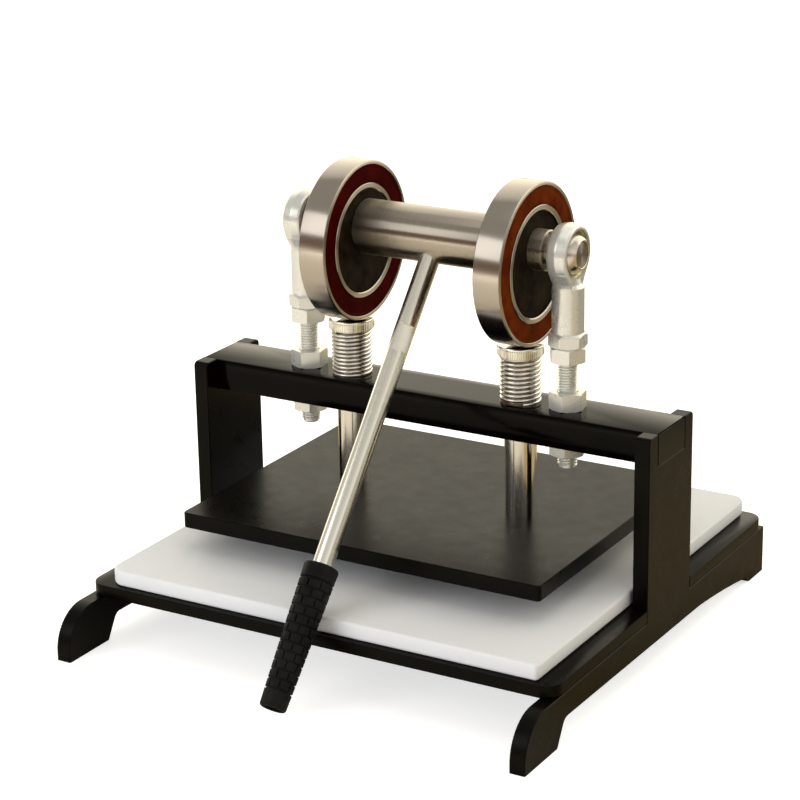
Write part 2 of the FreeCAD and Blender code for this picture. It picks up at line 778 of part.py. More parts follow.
os.makedirs("parts", exist_ok=True)
build_frame()
build_press()
build_crank()
save("cutting_board", [cutting_board()])
print("moved towards +Y by", round(shift_y, 4))
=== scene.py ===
import json
import math
import bpy
from mathutils import Matrix, Vector


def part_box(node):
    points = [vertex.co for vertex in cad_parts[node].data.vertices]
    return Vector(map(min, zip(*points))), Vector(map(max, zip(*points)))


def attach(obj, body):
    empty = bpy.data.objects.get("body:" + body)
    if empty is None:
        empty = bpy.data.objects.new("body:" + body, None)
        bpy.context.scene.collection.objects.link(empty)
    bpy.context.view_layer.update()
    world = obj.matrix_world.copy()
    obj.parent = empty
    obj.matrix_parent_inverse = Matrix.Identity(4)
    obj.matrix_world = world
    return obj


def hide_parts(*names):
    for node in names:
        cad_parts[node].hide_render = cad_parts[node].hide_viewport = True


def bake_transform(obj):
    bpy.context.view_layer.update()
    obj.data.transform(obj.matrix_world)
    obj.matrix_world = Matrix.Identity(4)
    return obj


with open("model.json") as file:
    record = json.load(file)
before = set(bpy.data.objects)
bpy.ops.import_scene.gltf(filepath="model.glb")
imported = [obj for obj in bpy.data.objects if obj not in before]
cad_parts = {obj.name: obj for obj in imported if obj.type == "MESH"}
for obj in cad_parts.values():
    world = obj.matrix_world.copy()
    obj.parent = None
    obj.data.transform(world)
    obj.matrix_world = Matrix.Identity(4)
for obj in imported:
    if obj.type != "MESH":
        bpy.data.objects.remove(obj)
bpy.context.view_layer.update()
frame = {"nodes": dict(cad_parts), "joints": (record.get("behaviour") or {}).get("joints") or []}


# Side plates
# Two 10 mm steel plates, cut with a curved toe, a low arch and an upright, edges broken, and
# sprayed with black enamel. They are the machine's feet and carry everything else.
def shader(made):
    """The finish's main shader."""
    return made.node_tree.nodes["Principled BSDF"]


def finish(name, metallic=0.0, colour=(0.8, 0.8, 0.8), specular=0.5):
    """A finish with its even values set. What varies over the surface is fed in afterwards."""
    made = bpy.data.materials.new(name)
    made.use_nodes = True
    inputs = shader(made).inputs
    inputs["Base Color"].default_value = (*colour, 1.0)
    inputs["Metallic"].default_value = metallic
    inputs["Specular IOR Level"].default_value = specular
    return made


def add(made, kind, inputs, **settings):
    """A node in a finish. Each input takes a plain value or another node's socket."""
    node = made.node_tree.nodes.new(kind)
    for key, value in settings.items():
        setattr(node, key, value)
    for key, value in inputs.items():
        if isinstance(value, bpy.types.NodeSocket):
            made.node_tree.links.new(value, node.inputs[key])
        else:
            node.inputs[key].default_value = value
    return node


def feed(made, socket, name):
    """Joins a socket to one of the main shader's inputs."""
    made.node_tree.links.new(socket, shader(made).inputs[name])


def place(made, centre=(0, 0, 0), turn=(0, 0, 0), size=(1, 1, 1)):
    """The piece's own coordinates from a centre, turned, and stretched by a size along each axis."""
    where = add(made, "ShaderNodeTexCoord", {}).outputs["Object"]
    values = {"Vector": where, "Location": centre, "Rotation": turn, "Scale": size}
    return add(made, "ShaderNodeMapping", values, vector_type="TEXTURE").outputs["Vector"]


def specks(made, scale, detail, where=None):
    """Cloudy pattern from 0 to 1, with this many specks to a metre."""
    values = {"Vector": where or place(made), "Scale": scale, "Detail": detail}
    return add(made, "ShaderNodeTexNoise", values).outputs["Fac"]


def ramp(made, pattern, stops):
    """Colours along a pattern, from places on it and the colour at each."""
    node = add(made, "ShaderNodeValToRGB", {"Fac": pattern})
    elements = node.color_ramp.elements
    while len(elements) < len(stops):
        elements.new(0.5)
    for element, (position, colour) in zip(elements, stops):
        element.position = position
        element.color = (*colour, 1.0)
    return node.outputs["Color"]


def mottled(made, scale, detail, dark, light, where=None, start=0.35, end=0.65):
    """Colours the finish in clouds from dark to light."""
    pattern = specks(made, scale, detail, where)
    feed(made, ramp(made, pattern, [(start, dark), (end, light)]), "Base Color")


def roughen(made, pattern, low, high):
    """Makes the finish from low to high in roughness along a pattern's middle part."""
    values = {"Value": pattern, "From Min": 0.35, "From Max": 0.65, "To Min": low, "To Max": high}
    feed(made, add(made, "ShaderNodeMapRange", values).outputs["Result"], "Roughness")


def raised(made, pattern, depth):
    """Raises the surface along a pattern, by a depth in metres."""
    values = {"Height": pattern, "Distance": depth, "Strength": 1.0}
    feed(made, add(made, "ShaderNodeBump", values).outputs["Normal"], "Normal")


def coat(pieces, made):
    """Puts a finish on pieces, in place of any they have."""
    for piece in pieces:
        piece.data.materials.clear()
        piece.data.materials.append(made)


nodes = frame["nodes"]
micron = 0.000001
enamel = finish("black_enamel", specular=0.085)
mottled(enamel, 30.0, 4.0, dark=(0.0012, 0.0008, 0.0004), light=(0.0026, 0.0018, 0.001))
roughen(enamel, specks(enamel, 90.0, 5.0), 0.27, 0.34)
raised(enamel, specks(enamel, 1400.0, 2.0), 5 * micron)
coat([nodes["side_plate_left"], nodes["side_plate_right"]], enamel)


# Base plate
# An 8 mm steel plate with rounded corners, notched round the uprights, that lies on the side
# plates' shoulders, in the same enamel. A fine shadow gap runs round under it.
def only(*pieces):
    """Object mode, with these pieces selected and the first of them active."""
    if bpy.context.mode != "OBJECT":
        bpy.ops.object.mode_set(mode="OBJECT")
    bpy.ops.object.select_all(action="DESELECT")
    for piece in pieces:
        piece.select_set(True)
    if pieces:
        bpy.context.view_layer.objects.active = pieces[0]


def alone(kind, name, **sizes):
    """Adds a primitive to shape, with nothing else selected."""
    only()
    getattr(bpy.ops.mesh, "primitive_" + kind + "_add")(**sizes)
    piece = bpy.context.object
    piece.name = name
    return piece


def into_mesh():
    """Puts the selected piece's place, turn and size into its mesh."""
    bpy.ops.object.transform_apply(location=True, rotation=True, scale=True)


def block(name, middle, size):
    """A box to shape, of this size round this middle."""
    piece = alone("cube", name, size=1.0, location=middle)
    piece.scale = size
    into_mesh()
    return piece


def pick(piece, edges=None, faces=None):
    """Edit mode, with the edges or faces selected whose middle and run or normal pass a test."""
    only(piece)
    bpy.ops.object.mode_set(mode="EDIT")
    bpy.ops.mesh.select_mode(type="EDGE" if edges else "FACE")
    bpy.ops.mesh.select_all(action="DESELECT")
    bpy.ops.object.mode_set(mode="OBJECT")
    mesh = piece.data
    if edges:
        for edge in mesh.edges:
            a, b = (mesh.vertices[i].co for i in edge.vertices)
            edge.select = bool(edges((a + b) / 2, (b - a).normalized()))
    if faces:
        for face in mesh.polygons:
            face.select = bool(faces(face.center, face.normal))
    bpy.ops.object.mode_set(mode="EDIT")


def round_off(piece, radius, segments, edges):
    """Rounds the edges that pass a test."""
    pick(piece, edges=edges)
    bpy.ops.mesh.bevel(offset=radius, segments=segments, affect="EDGES")


def applied(piece, kind, **settings):
    """Adds a modifier and applies it."""
    only(piece)
    modifier = piece.modifiers.new(kind.lower(), kind)
    for key, value in settings.items():
        setattr(modifier, key, value)
    bpy.ops.object.modifier_apply(modifier=modifier.name)


def carve(piece, tool, operation="DIFFERENCE"):
    """Cuts one piece with another, which is then gone."""
    applied(piece, "BOOLEAN", object=tool, operation=operation, solver="EXACT")
    bpy.data.objects.remove(tool)


def settle(piece, centre=(0, 0, 0), turn=(0, 0, 0), smooth=30.0):
    """Turns and moves a shaped piece to its place, merges its doubles and smooths its round faces."""
    only(piece)
    into_mesh()
    piece.rotation_euler = turn
    piece.location = centre
    into_mesh()
    bpy.ops.object.mode_set(mode="EDIT")
    bpy.ops.mesh.select_all(action="SELECT")
    bpy.ops.mesh.remove_doubles(threshold=micron)
    bpy.ops.mesh.normals_make_consistent(inside=False)
    bpy.ops.object.mode_set(mode="OBJECT")
    bpy.ops.object.shade_smooth_by_angle(angle=math.radians(smooth))


pivots = {joint["name"]: joint["pos_m"] for joint in frame["joints"] if "pos_m" in joint}
pillar_plane = pivots["crank_turn"][1]       # uprights, beam, pillars and shaft are centred in this plane
plate_low, plate_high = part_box("base_plate")
shadow_gap = Vector((0, 0, 0.001))
plate_corner, plate_rim, shadow_step = 0.011, 0.0005, 0.0012
hair = 0.0001                                # edges this near to a place count as lying there
plate = block("black_base_plate", (plate_low + plate_high + shadow_gap) / 2,
              plate_high - plate_low - shadow_gap)
round_off(plate, plate_corner, 12, lambda middle, run: abs(run.z) > 0.9)
notch_size, notch_level = (0.02, 0.0622, 0.02), 0.035
for side_edge in (plate_low.x, plate_high.x):
    carve(plate, block("notch", (side_edge, pillar_plane, notch_level), notch_size))
round_off(plate, plate_rim, 2, lambda middle, run: middle.z > plate_high.z - hair and abs(run.z) < 0.1)
pick(plate, faces=lambda middle, normal: normal.z < -0.9)
bpy.ops.mesh.inset(thickness=shadow_step)
bpy.ops.mesh.extrude_region_move(TRANSFORM_OT_translate={"value": -shadow_gap})
settle(plate)
coat([plate], enamel)
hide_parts("base_plate")
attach(plate, "frame")


# Cutting board
# A loose square of white polyethylene, 10 mm thick, with a satin skin. Its rims are rounded over,
# and its corners too but the front right one, which is nearly sharp.
def front_right(place):
    """Whether a place lies in the machine's front right quarter."""
    return place.x > 0 and place.y < 0


board_low, board_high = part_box("cutting_board")
board_corner, sharp_corner, board_rim = 0.0105, 0.0025, 0.0018
board = block("white_board", (board_low + board_high) / 2, board_high - board_low)
round_off(board, board_corner, 12, lambda middle, run: abs(run.z) > 0.9 and not front_right(middle))
round_off(board, sharp_corner, 6, lambda middle, run: abs(run.z) > 0.9 and front_right(middle))
round_off(board, board_rim, 6, lambda middle, run: abs(run.z) < 0.1)
settle(board)
polythene = finish("white_polyethylene", specular=0.06)
shader(polythene).inputs["Subsurface Weight"].default_value = 0.15
shader(polythene).inputs["Subsurface Radius"].default_value = (0.004, 0.004, 0.0035)
mottled(polythene, 9.0, 3.0, dark=(0.735, 0.755, 0.775), light=(0.775, 0.785, 0.805))
long_marks = place(polythene, turn=(0, 0, 0.4), size=(0.02, 0.6, 1.0))
roughen(polythene, specks(polythene, 9.0, 4.0, long_marks), 0.34, 0.5)
raised(polythene, specks(polythene, 700.0, 3.0), 30 * micron)
coat([board], polythene)
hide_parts("cutting_board")
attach(board, "board")


# Crossbeam and its bushes
# A 38 x 20 mm steel bar let into the tops of the side plates, its ends stepped in by a hair, in
# the same enamel with a higher gloss. Sintered bronze bushes for the pillars are pressed in flush.
def middle_x(node):
    """How far a node's middle stands to the side, to a tenth of a millimetre."""
    low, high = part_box(node)
    return round((low.x + high.x) / 2, 4)


gloss = finish("gloss_black_enamel", specular=0.075)
mottled(gloss, 30.0, 4.0, dark=(0.0007, 0.0004, 0.0002), light=(0.0018, 0.0012, 0.0006))
roughen(gloss, specks(gloss, 60.0, 5.0), 0.1, 0.16)
raised(gloss, specks(gloss, 1100.0, 2.0), 6 * micron)
span_low, span_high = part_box("crossbeam")
end_step, end_inset, beam_edge = 0.0008, 0.0006, 0.0005
beam = block("black_crossbeam", (span_low + span_high) / 2,
             span_high - span_low - 2 * Vector((end_step, 0, 0)))
round_off(beam, beam_edge, 2, lambda middle, run: abs(run.x) > 0.9)
pick(beam, faces=lambda middle, normal: abs(normal.x) > 0.9)
bpy.ops.mesh.inset(thickness=end_inset)
bpy.ops.mesh.extrude_region_shrink_fatten(TRANSFORM_OT_shrink_fatten={"value": end_step})
pillar_line = middle_x("guide_bush_right")   # pillars, bushes and springs stand this far to each side
rod_line = middle_x("rod_end_right")         # and studs, nuts and rod ends this far
stud_hole, bush_hole, beam_level = 0.0065, 0.013, (span_low.z + span_high.z) / 2
for x, radius in ((-rod_line, stud_hole), (-pillar_line, bush_hole), (pillar_line, bush_hole),
                  (rod_line, stud_hole)):
    hole = alone("cylinder", "hole", vertices=96, radius=radius, depth=0.03,
                 location=(x, pillar_plane, beam_level))
    into_mesh()
    carve(beam, hole)
settle(beam)
coat([beam], gloss)
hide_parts("crossbeam")
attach(beam, "frame")
bronze = finish("sintered_bronze", metallic=1.0)
mottled(bronze, 1500.0, 2.0, dark=(0.07, 0.045, 0.022), light=(0.24, 0.16, 0.08))
roughen(bronze, specks(bronze, 400.0, 3.0), 0.35, 0.55)
coat([nodes["guide_bush_left"], nodes["guide_bush_right"]], bronze)


# Platen and its screws
# The 10 mm pressing plate in satin enamel. Two countersunk socket screws from below hold the
# pillars.
coat([nodes["platen"]], enamel)
zinc = finish("zinc_plate", metallic=0.65)
mottled(zinc, 60.0, 2.0, dark=(0.745, 0.75, 0.71), light=(0.775, 0.78, 0.74))
roughen(zinc, specks(zinc, 120.0, 2.0), 0.27, 0.30)
raised(zinc, specks(zinc, 500.0, 1.0), 0.2 * micron)
coat([nodes["pillar_screws"]], zinc)


# Guide pillars
# Two 20 mm pillars, ground and hard chromed, that slide in the bushes.
def heights(node):
    """The heights of a node's underside and top, to a tenth of a millimetre."""
    return [round(corner.z, 4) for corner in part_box(node)]


def whole(piece, kind):
    """Edit mode by edges or faces, with all of the piece selected."""
    only(piece)
    bpy.ops.object.mode_set(mode="EDIT")
    bpy.ops.mesh.select_mode(type=kind)
    bpy.ops.mesh.select_all(action="SELECT")


def turned(name, stations, sides=96, ring=False):
    """A turned piece along Z, drawn out from place to place and opened or closed to each radius."""
    (low, inner), rest = stations[0], stations[1:]
    blank = "NOTHING" if ring else "NGON"
    piece = alone("circle", name, vertices=sides, radius=inner, location=(0, 0, low), fill_type=blank)
    into_mesh()
    whole(piece, "EDGE" if ring else "FACE")
    extrude = bpy.ops.mesh.extrude_edges_move if ring else bpy.ops.mesh.extrude_region_move
    for high, outer in rest:
        extrude(TRANSFORM_OT_translate={"value": (0, 0, high - low)})
        if abs(outer - inner) > 1e-9:
            bpy.ops.transform.resize(value=(outer / inner, outer / inner, 1), center_override=(0, 0, high))
        low, inner = high, outer
    bpy.ops.object.mode_set(mode="OBJECT")
    return piece


def twin(piece, name, shift):
    """A copy with its own mesh, moved along X."""
    only(piece)
    bpy.ops.object.duplicate(linked=False)
    copy = bpy.context.object
    copy.name = name
    copy.location.x += shift
    into_mesh()
    return copy


def lathe_marks(made, centre, turn, fine, depth, low, high):
    """Fine rings left by turning or grinding round an axis, in the relief and in the roughness."""
    where = place(made, centre, turn)
    flat = add(made, "ShaderNodeVectorMath", {0: where, 1: (1, 1, 0)}, operation="MULTIPLY").outputs[0]
    out = add(made, "ShaderNodeVectorMath", {0: flat}, operation="LENGTH").outputs["Value"]
    along = add(made, "ShaderNodeSeparateXYZ", {"Vector": where}).outputs["Z"]
    rings = add(made, "ShaderNodeCombineXYZ", {"X": out, "Y": along}).outputs["Vector"]
    pattern = specks(made, fine, 4.0, rings)
    roughen(made, pattern, low, high)
    raised(made, pattern, depth)


def stretched(made, axis, amount):
    """Draws highlights out along an axis, across the fine rings that grinding or turning leaves."""
    round_axis = add(made, "ShaderNodeTangent", {}, direction_type="RADIAL", axis=axis).outputs["Tangent"]
    feed(made, round_axis, "Tangent")
    shader(made).inputs["Anisotropic"].default_value = amount
    shader(made).inputs["Anisotropic Rotation"].default_value = 0.25


along_z = (0, 0, 0)                          # the turn of a piece that stays upright
pillar_radius = 0.01
pillar_low = heights("guide_pillar_left")[0]
cap_low, cap_high = heights("guide_cap_left")
ground_chrome = finish("ground_chrome", metallic=1.0, colour=(0.77, 0.735, 0.68))
lathe_marks(ground_chrome, (0, pillar_plane, 0), along_z, 900.0, 0.2 * micron, 0.15, 0.2)
stretched(ground_chrome, "Z", 0.6)
pillar = turned("chromed_pillar_left", [(pillar_low, pillar_radius), (cap_low, pillar_radius)])
settle(pillar, (-pillar_line, pillar_plane, 0))
for side, piece in (("left", pillar), ("right", twin(pillar, "chromed_pillar_right", 2 * pillar_line))):
    coat([piece], ground_chrome)
    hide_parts("guide_pillar_" + side)
    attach(piece, "press")


# Knurled caps
# Turned and polished steel caps with a straight knurled band, pressed on the pillars' spigots.
# The bearings push on their flat tops.
def together(first, *rest):
    """Joins pieces into the first."""
    only(first, *rest)
    bpy.ops.object.join()


def coat_faces(piece, made, faces):
    """Puts a second finish on the faces that pass a test."""
    piece.data.materials.append(made)
    pick(piece, faces=faces)
    piece.active_material_index = 1
    bpy.ops.object.material_slot_assign()
    only()


cap_core = [(cap_low, 0.0134), (cap_low + 0.0005, 0.0139), (cap_high - 0.0006, 0.0139),
            (cap_high - 0.0002, 0.0137), (cap_high, 0.0132)]
cap = turned("knurled_cap_left", cap_core, sides=128)
ridges, knurl_root, knurl_crest = 60, 0.01385, 0.01448
band_low, band_high, run_out = cap_low + 0.0007, cap_high - 0.0013, 0.0004
band = alone("circle", "band", vertices=4 * ridges, radius=knurl_root, location=(0, 0, band_low),
             fill_type="NGON")
into_mesh()
whole(band, "FACE")
for rise in (run_out, band_high - band_low - 2 * run_out, run_out):
    bpy.ops.mesh.extrude_region_move(TRANSFORM_OT_translate={"value": (0, 0, rise)})
bpy.ops.mesh.select_all(action="DESELECT")
bpy.ops.mesh.select_mode(type="VERT")
bpy.ops.object.mode_set(mode="OBJECT")
for vertex in band.data.vertices:
    around = math.atan2(vertex.co.y, vertex.co.x) / math.tau * 4 * ridges
    inside = band_low + run_out / 2 < vertex.co.z < band_high - run_out / 2
    vertex.select = inside and round(around) % 4 in (0, 1)
bpy.ops.object.mode_set(mode="EDIT")
swell = knurl_crest / knurl_root
bpy.ops.transform.resize(value=(swell, swell, 1), center_override=(0, 0, 0))
together(cap, band)
settle(cap, (-pillar_line, pillar_plane, 0), smooth=25.0)
ground_steel = finish("ground_steel", metallic=1.0, colour=(0.77, 0.75, 0.70))
lathe_marks(ground_steel, (-pillar_line, pillar_plane, 0), along_z, 900.0, 0.6 * micron, 0.07, 0.12)
knurled_steel = finish("knurled_steel", metallic=1.0)
mottled(knurled_steel, 200.0, 3.0, dark=(0.74, 0.72, 0.66), light=(0.86, 0.84, 0.78))
roughen(knurled_steel, specks(knurled_steel, 500.0, 3.0), 0.17, 0.21)
for side, piece in (("left", cap), ("right", twin(cap, "knurled_cap_right", 2 * pillar_line))):
    coat([piece], knurled_steel)
    coat_faces(piece, ground_steel, lambda middle, normal: normal.z > 0.9)
    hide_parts("guide_cap_" + side)
    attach(piece, "press")


# Springs
# Plated steel wire, 2.1 mm thick, wound round each pillar between the beam and the cap, with its
# ends ground flat. They open as the caps rise with the platen.
def wound(piece, rise, turns, steps):
    """Winds a loop or a line round Z, with this rise to a turn."""
    applied(piece, "SCREW", axis="Z", angle=math.tau, screw_offset=rise, iterations=turns, steps=steps,
            render_steps=steps, use_merge_vertices=False, use_normal_calculate=True)
    whole(piece, "EDGE")
    bpy.ops.mesh.fill_holes(sides=20)


spring_low, spring_high = heights("crossbeam")[1], cap_low
wire, coil = 0.00105, 0.0118                 # radius of the wire, and of its middle line round the pillar
end_level, ground_off = 0.3 * wire, 0.00003  # the end coils' middle line, and their faces, from beam and cap
spring_steel = finish("plated_wire", metallic=1.0)
mottled(spring_steel, 150.0, 3.0, dark=(0.76, 0.74, 0.70), light=(0.90, 0.885, 0.85))
roughen(spring_steel, specks(spring_steel, 700.0, 3.0), 0.1, 0.24)
for side, x, turns, start in (("left", -pillar_line, 11, -123.0), ("right", pillar_line, 10, -55.0)):
    spring = alone("circle", "coil_spring_" + side, vertices=14, radius=wire, location=(coil, 0, 0),
                   rotation=(math.pi / 2, 0, 0), fill_type="NOTHING")
    into_mesh()
    wound(spring, (spring_high - spring_low - 2 * end_level) / turns, turns, 48)
    settle(spring, (x, pillar_plane, spring_low + end_level), (0, 0, math.radians(start)), smooth=60.0)
    for height, up in ((spring_low + ground_off, -1), (spring_high - ground_off, 1)):
        whole(spring, "FACE")
        bpy.ops.mesh.bisect(plane_co=(x, 0, height), plane_no=(0, 0, up), clear_outer=True, use_fill=True,
                            threshold=micron)
    settle(spring, smooth=60.0)
    coat([spring], spring_steel)
    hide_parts("spring_" + side)
    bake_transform(spring)


# Studs
# M12 threaded studs, zinc plated, through the beam and up into the rod ends. The thread's ridge is
# wound, cut to length with pointed ends, and joined to the core.
stud_low, stud_high = heights("stud_left")
pitch, crest, root, point, overlap = 0.00175, 0.006, 0.00495, 0.0012, 0.0002
thread_low = stud_low + pitch
thread = alone("plane", "thread", size=1.0, rotation=(math.pi / 2, 0, 0))
thread.scale = (crest - root + overlap, pitch * 0.96, 1)
thread.location = ((crest + root - overlap) / 2, 0, thread_low)
into_mesh()
pick(thread, edges=lambda middle, run: middle.x > crest - hair)
bpy.ops.transform.resize(value=(1, 1, 0.2), center_override=(0, 0, thread_low))
bpy.ops.mesh.select_all(action="SELECT")
bpy.ops.mesh.delete(type="ONLY_FACE")
thread_turns = int((stud_high - thread_low) / pitch) - 1
wound(thread, pitch, thread_turns, 36)
bpy.ops.mesh.normals_make_consistent(inside=False)
full = crest + 10 * micron
thread_limits = [(stud_low, crest - point), (stud_low + point, full), (stud_high - point, full),
                 (stud_high, crest - point)]
carve(thread, turned("limits", thread_limits, sides=72), "INTERSECT")
core_end = 0.0007
core = [(stud_low, root - core_end), (stud_low + core_end, root), (stud_high, root)]
stud = turned("threaded_stud_left", core, sides=48)
together(stud, thread)
settle(stud, (-rod_line, pillar_plane, 0), smooth=25.0)
for side, piece in (("left", stud), ("right", twin(stud, "threaded_stud_right", 2 * rod_line))):
    coat([piece], zinc)
    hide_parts("stud_" + side)
    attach(piece, "frame")


# Nuts
# Zinc plated six-sided nuts, 20.4 mm over the flats: one above and one below the beam on each stud,
# and a jam nut under each rod end. Both faces are turned off at the corners.
def break_edges(piece, width, angle):
    """Takes the sharpness off edges that turn by more than an angle in degrees."""
    applied(piece, "BEVEL", width=width, segments=2, limit_method="ANGLE", angle_limit=math.radians(angle))


def nut(name, levels, x, turn, flats=0.0204, hole=0.0061, fall=0.0012):
    """A six-sided nut with turned corners and a countersunk hole."""
    low, high = levels
    corner = flats / math.sqrt(3)
    piece = alone("cylinder", name, vertices=6, radius=corner, depth=high - low,
                  location=(0, 0, (low + high) / 2))
    into_mesh()
    clear, slope, sink = corner + 0.0002, 0.55, 0.0007
    rise = (clear - corner + fall) * slope
    profile = [(low, hole + sink), (low, corner - fall), (low + rise, clear), (high - rise, clear),
               (high, corner - fall), (high, hole + sink), (high - sink, hole), (low + sink, hole),
               (low, hole + sink)]
    limits = turned("limits", profile, ring=True)
    settle(limits)
    carve(piece, limits, "INTERSECT")
    settle(piece)
    break_edges(piece, 0.0002, 28)
    settle(piece, (x, pillar_plane, 0), (0, 0, math.radians(turn)), smooth=20.0)
    return piece


for kind, node, left_turn, right_turn in (
        ("jam", "jam_nuts", 28.0, 31.0),
        ("top", "beam_top_nuts", 6.0, 10.0),
        ("low", "beam_lower_nuts", 28.0, 18.0)):
    pair = nut(kind + "_nut_pair", heights(node), -rod_line, left_turn)
    together(pair, nut("right_nut", heights(node), rod_line, right_turn))
    coat([pair], zinc)
    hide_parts(node)
    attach(pair, "frame")


# Rod ends
# Forged eyes on round shanks with a six-sided collar, drilled for the studs and zinc plated. The
# forging runs smoothly from the eye into the shank.
along_x = (0, math.pi / 2, 0)                # the turn of a piece laid down along the shaft
axle = pivots["crank_turn"][2]               # height of the shaft
collar_low = heights("jam_nuts")[1]
eye_side = [(-0.0065, 0.0158), (-0.0064, 0.0165), (-0.0059, 0.0171), (-0.0049, 0.01755), (-0.0002, 0.0184)]
eye = turned("forged_rod_end_left", eye_side + [(-along, radius) for along, radius in eye_side[::-1]])
settle(eye, (0, 0, axle), along_x)
web_size, web_level = (0.0122, 0.032, 0.012), axle - 0.016
web = block("web", (0, 0, web_level), web_size)
flare_stations = [(0.0225, 0.0098), (0.0195, 0.0099), (0.0165, 0.0112), (0.0135, 0.0131), (0.0095, 0.0158)]
carve(web, turned("flare", [(axle - below, radius) for below, radius in flare_stations]), "INTERSECT")
shank_radius = 0.0098
shank = turned("shank", [(collar_low + 0.0025, shank_radius), (axle - 0.0202, shank_radius),
                         (axle - 0.0186, 0.0082), (axle - 0.014, 0.0071)])
collar = nut("collar", (collar_low, collar_low + 0.0086), 0, 2, flats=0.021, hole=0.004, fall=0.0016)
collar.location.y -= pillar_plane
together(eye, web, shank, collar)
applied(eye, "REMESH", mode="VOXEL", voxel_size=0.0004, adaptivity=0.0)
applied(eye, "SMOOTH", factor=0.5, iterations=8)
eye_bore = 0.0149
bore = turned("bore", [(-0.012, eye_bore), (0.012, eye_bore)], sides=128)
settle(bore, (0, 0, axle), along_x)
carve(eye, bore)
socket = [(0.184, 0.0066), (0.1862, 0.0061), (0.2075, 0.0061), (0.2085, 0.004)]
carve(eye, turned("socket", socket, sides=64))
settle(eye, (-rod_line, pillar_plane, 0), smooth=35.0)
for side, piece in (("left", eye), ("right", twin(eye, "forged_rod_end_right", 2 * rod_line))):
    coat([piece], zinc)
    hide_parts("rod_end_" + side)
    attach(piece, "frame")


# Races and swivel balls
# A brass-tinted race ring is pressed in each eye. The hard chromed ball turns in it, flat on both
# sides and bored for the shaft's journal.
ball_radius, ball_flat, ball_bore = 0.0131, 0.0096, 0.008
hollow = ball_radius + 0.00004
race_hollow = [(hollow * math.sin(math.radians(a)), hollow * math.cos(math.radians(a)))
               for a in (16, 8, 0, -8, -16)]
race_profile = [(-0.0056, 0.0139), (-0.0056, 0.0144), (-0.0053, eye_bore), (0.0053, eye_bore),
                (0.0056, 0.0144), (0.0056, 0.0139), (0.0050, 0.0133), *race_hollow, (-0.0050, 0.0133)]
race = turned("race_left", race_profile + [race_profile[0]], ring=True)
settle(race, (-rod_line, pillar_plane, axle), along_x)
ball = alone("uv_sphere", "swivel_ball_left", segments=96, ring_count=48, radius=ball_radius)
for side in (-1, 1):
    whole(ball, "EDGE")
    bpy.ops.mesh.bisect(plane_co=(0, 0, side * ball_flat), plane_no=(0, 0, side), clear_outer=True,
                        use_fill=True)
    bpy.ops.object.mode_set(mode="OBJECT")
drill = [(-0.0104, 0.0091), (-0.0093, ball_bore), (0.0093, ball_bore), (0.0104, 0.0091)]
carve(ball, turned("drill", drill))
settle(ball, (-rod_line, pillar_plane, axle), along_x)
chrome = finish("hard_chrome", metallic=1.0, colour=(0.66, 0.625, 0.56))
lathe_marks(chrome, (0, pillar_plane, axle), along_x, 700.0, 1.5 * micron, 0.17, 0.24)
race_brass = finish("yellow_passivate", metallic=1.0)
mottled(race_brass, 300.0, 3.0, dark=(0.40, 0.36, 0.20), light=(0.54, 0.51, 0.35))
roughen(race_brass, specks(race_brass, 500.0, 3.0), 0.3, 0.45)
for first, kind, node, made, slot, body in (
        (race, "race_", "rod_end_race_", race_brass, "race_brass", "frame"),
        (ball, "swivel_ball_", "rod_end_ball_", chrome, "chrome", "crank")):
    for side, piece in (("left", first), ("right", twin(first, kind + "right", 2 * rod_line))):
        coat([piece], made)
        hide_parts(node + side)
        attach(piece, body)


# Cross shaft
# One bar, turned down in steps: a thick middle for the handle, seats for the eccentrics and thin
# journals in the swivel balls. It has slid a little to the right in its rod ends.
left_bearing, right_bearing = pivots["roller_left_turn"][0], pivots["roller_right_turn"][0]
slide = (left_bearing + right_bearing) / 2
journal, seat_radius, middle_radius = 0.008, 0.0125, 0.01715
middle_end, seat_end, tip = 0.0514, 0.0766, 0.0976
right_half = [(tip, journal - 0.0008), (tip - 0.0007, journal), (seat_end, journal),
              (seat_end, seat_radius - 0.0008), (seat_end - 0.0008, seat_radius), (middle_end, seat_radius),
              (middle_end, 0.0165), (middle_end - 0.0004, 0.01695), (middle_end - 0.0008, middle_radius)]
shaft_profile = [(-along, radius) for along, radius in right_half] + right_half[::-1]
shaft = turned("turned_cross_shaft", shaft_profile, sides=128)
settle(shaft, (slide, pillar_plane, axle), along_x)
turned_steel = finish("turned_steel", metallic=1.0, colour=(0.42, 0.38, 0.325))
lathe_marks(turned_steel, (0, pillar_plane, axle), along_x, 7000.0, 0.02 * micron, 0.27, 0.29)
stretched(turned_steel, "X", 0.95)
coat([shaft], turned_steel)
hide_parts("crankshaft")
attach(shaft, "crank")


# Eccentrics and their screws
# Blackened steel discs, faced on a lathe and bored off centre. They fill the bearings' bores, and
# a grub screw under the inner ring locks each to the shaft.
cam = pivots["roller_left_turn"][2]          # height of the eccentrics' centres
seat = 0.0594                                # the discs' middles stand this far from the shaft's
disc_half, disc_radius, disc_edge, screw_hole = 0.008, 0.0325, 0.0005, 0.004
disc_side = [(-disc_half, disc_radius - disc_edge), (disc_edge - disc_half, disc_radius)]
disc = turned("eccentric_disc_left", disc_side + [(-along, radius) for along, radius in disc_side[::-1]],
              sides=128)
settle(disc, (slide - seat, pillar_plane, cam), along_x)
arbor = turned("arbor", [(-0.01, seat_radius), (0.01, seat_radius)])
settle(arbor, (slide - seat, pillar_plane, axle), along_x)
carve(disc, arbor)
tap = turned("tap", [(cam - 0.034, screw_hole), (axle - 0.01, screw_hole)], sides=48)
settle(tap, (slide - seat, pillar_plane, 0))
carve(disc, tap)
settle(disc)
dark_steel = finish("blackened_steel", specular=0.03)
faced = place(dark_steel, (0, pillar_plane, cam), along_x)
